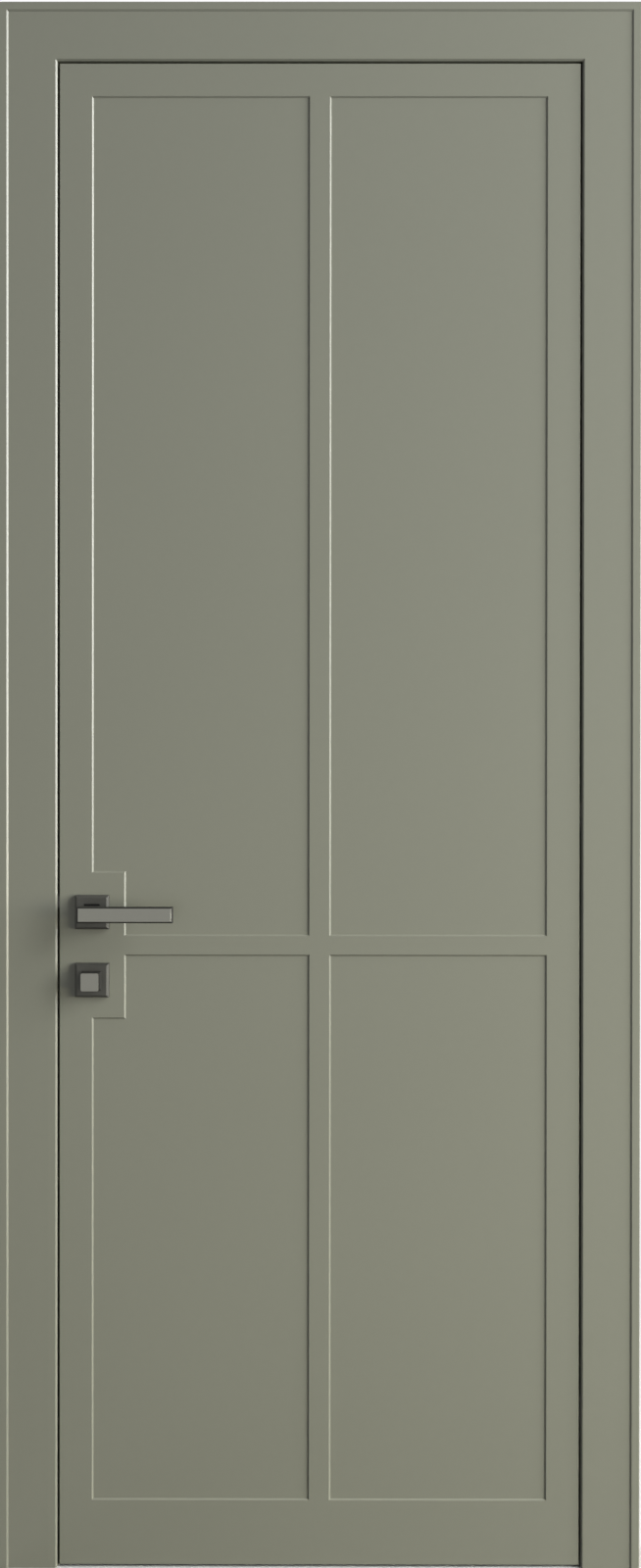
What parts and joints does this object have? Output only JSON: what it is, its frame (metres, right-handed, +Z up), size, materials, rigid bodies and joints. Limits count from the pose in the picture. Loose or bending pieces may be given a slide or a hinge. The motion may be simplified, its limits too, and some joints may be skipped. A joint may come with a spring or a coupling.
{
  "type": "interior door",
  "caption": "Flush interior door with milled panels, lining, casings, concealed hinges, lever handles and a thumb-turn lock; the leaf swings and the latch and bolt slide.",
  "frame": {"origin": "floor level, middle of the opening's width, middle of the leaf's thickness", "axes": "+Z up; +X to the right of someone who faces the viewed side; +Y away from them, into the room behind"},
  "size_m": [0.981, 0.16, 2.396],
  "materials": {
    "paint": "fibreboard with satin olive-grey paint",
    "timber": "planed pine",
    "core": "raw chipboard",
    "graphite": "satin graphite",
    "satin": "satin grey metal",
    "steel": "zinc-plated steel",
    "rubber": "matt black rubber",
    "plastic": "matt black plastic"
  },
  "bodies": {
    "frame": {"latch_jamb": "paint", "hinge_jamb": "paint", "head_jamb": "paint", "front_casing_left": "paint", "front_casing_right": "paint", "front_casing_head": "paint", "back_casing_left": "paint", "back_casing_right": "paint", "back_casing_head": "paint", "seal_left": "rubber", "seal_right": "rubber", "seal_head": "rubber", "strike_plate": "steel", "strike_box": "plastic", "strike_screws": "steel", "lower_hinge_frame_body": "steel", "middle_hinge_frame_body": "steel", "upper_hinge_frame_body": "steel", "hinge_frame_screws": "steel"},
    "hinge_links": {"lower_hinge_link": "steel", "middle_hinge_link": "steel", "upper_hinge_link": "steel"},
    "leaf": {"leaf_front_face": "paint", "leaf_back_face": "paint", "leaf_latch_stile": "timber", "leaf_hinge_stile": "timber", "leaf_top_rail": "timber", "leaf_bottom_rail": "timber", "leaf_lock_block": "timber", "leaf_core": "core", "lower_hinge_leaf_body": "steel", "middle_hinge_leaf_body": "steel", "upper_hinge_leaf_body": "steel", "hinge_leaf_screws": "steel", "lock_case": "steel", "lock_cover": "steel", "lock_forend": "steel", "forend_screws": "steel", "front_lever_rosette": "graphite", "back_lever_rosette": "graphite", "front_turn_rosette": "graphite", "back_turn_rosette": "graphite", "front_lever_base": "graphite", "back_lever_base": "graphite", "front_turn_base": "graphite", "back_turn_base": "graphite", "rosette_screws": "steel"},
    "lever_set": {"front_lever": "satin", "back_lever": "satin", "lever_spindle": "steel", "lever_grub_screws": "steel", "lever_follower": "steel"},
    "latch": {"latch_bolt": "steel"},
    "thumb_turn": {"thumb_turn_knob": "satin", "coin_release": "satin", "turn_spindle": "steel", "turn_follower": "steel"},
    "deadbolt": {"dead_bolt": "steel"}
  },
  "joints": [
    {"name": "leaf_swing", "type": "hinge", "parent": "frame", "child": "leaf", "pos_m": [0.4, -0.024, 1.154], "axis": [0, 0, 1], "range_deg": [0, 100]},
    {"name": "hinge_link_swing", "type": "hinge", "parent": "frame", "child": "hinge_links", "pos_m": [0.4, -0.024, 1.154], "axis": [0, 0, 1], "range_deg": [0, 50]},
    {"name": "lever_turn", "type": "hinge", "parent": "leaf", "child": "lever_set", "pos_m": [-0.3475, 0, 1.006], "axis": [0, 1, 0], "range_deg": [0, 38], "stiffness_Nm_per_rad": 1.5, "springref_deg": -45.84},
    {"name": "latch_slide", "type": "slide", "parent": "leaf", "child": "latch", "axis": [1, 0, 0], "range_m": [0, 0.011]},
    {"name": "thumb_turn", "type": "hinge", "parent": "leaf", "child": "thumb_turn", "pos_m": [-0.3475, 0, 0.902], "axis": [0, 1, 0], "range_deg": [0, 90]},
    {"name": "deadbolt_slide", "type": "slide", "parent": "leaf", "child": "deadbolt", "axis": [-1, 0, 0], "range_m": [0, 0.014]}
  ],
  "couplings": [
    {"joint": "hinge_link_swing", "follows": "leaf_swing", "ratio": 0.5},
    {"joint": "latch_slide", "follows": "lever_turn", "m_per_rad": 0.016585},
    {"joint": "deadbolt_slide", "follows": "thumb_turn", "m_per_rad": 0.0089126}
  ]
}
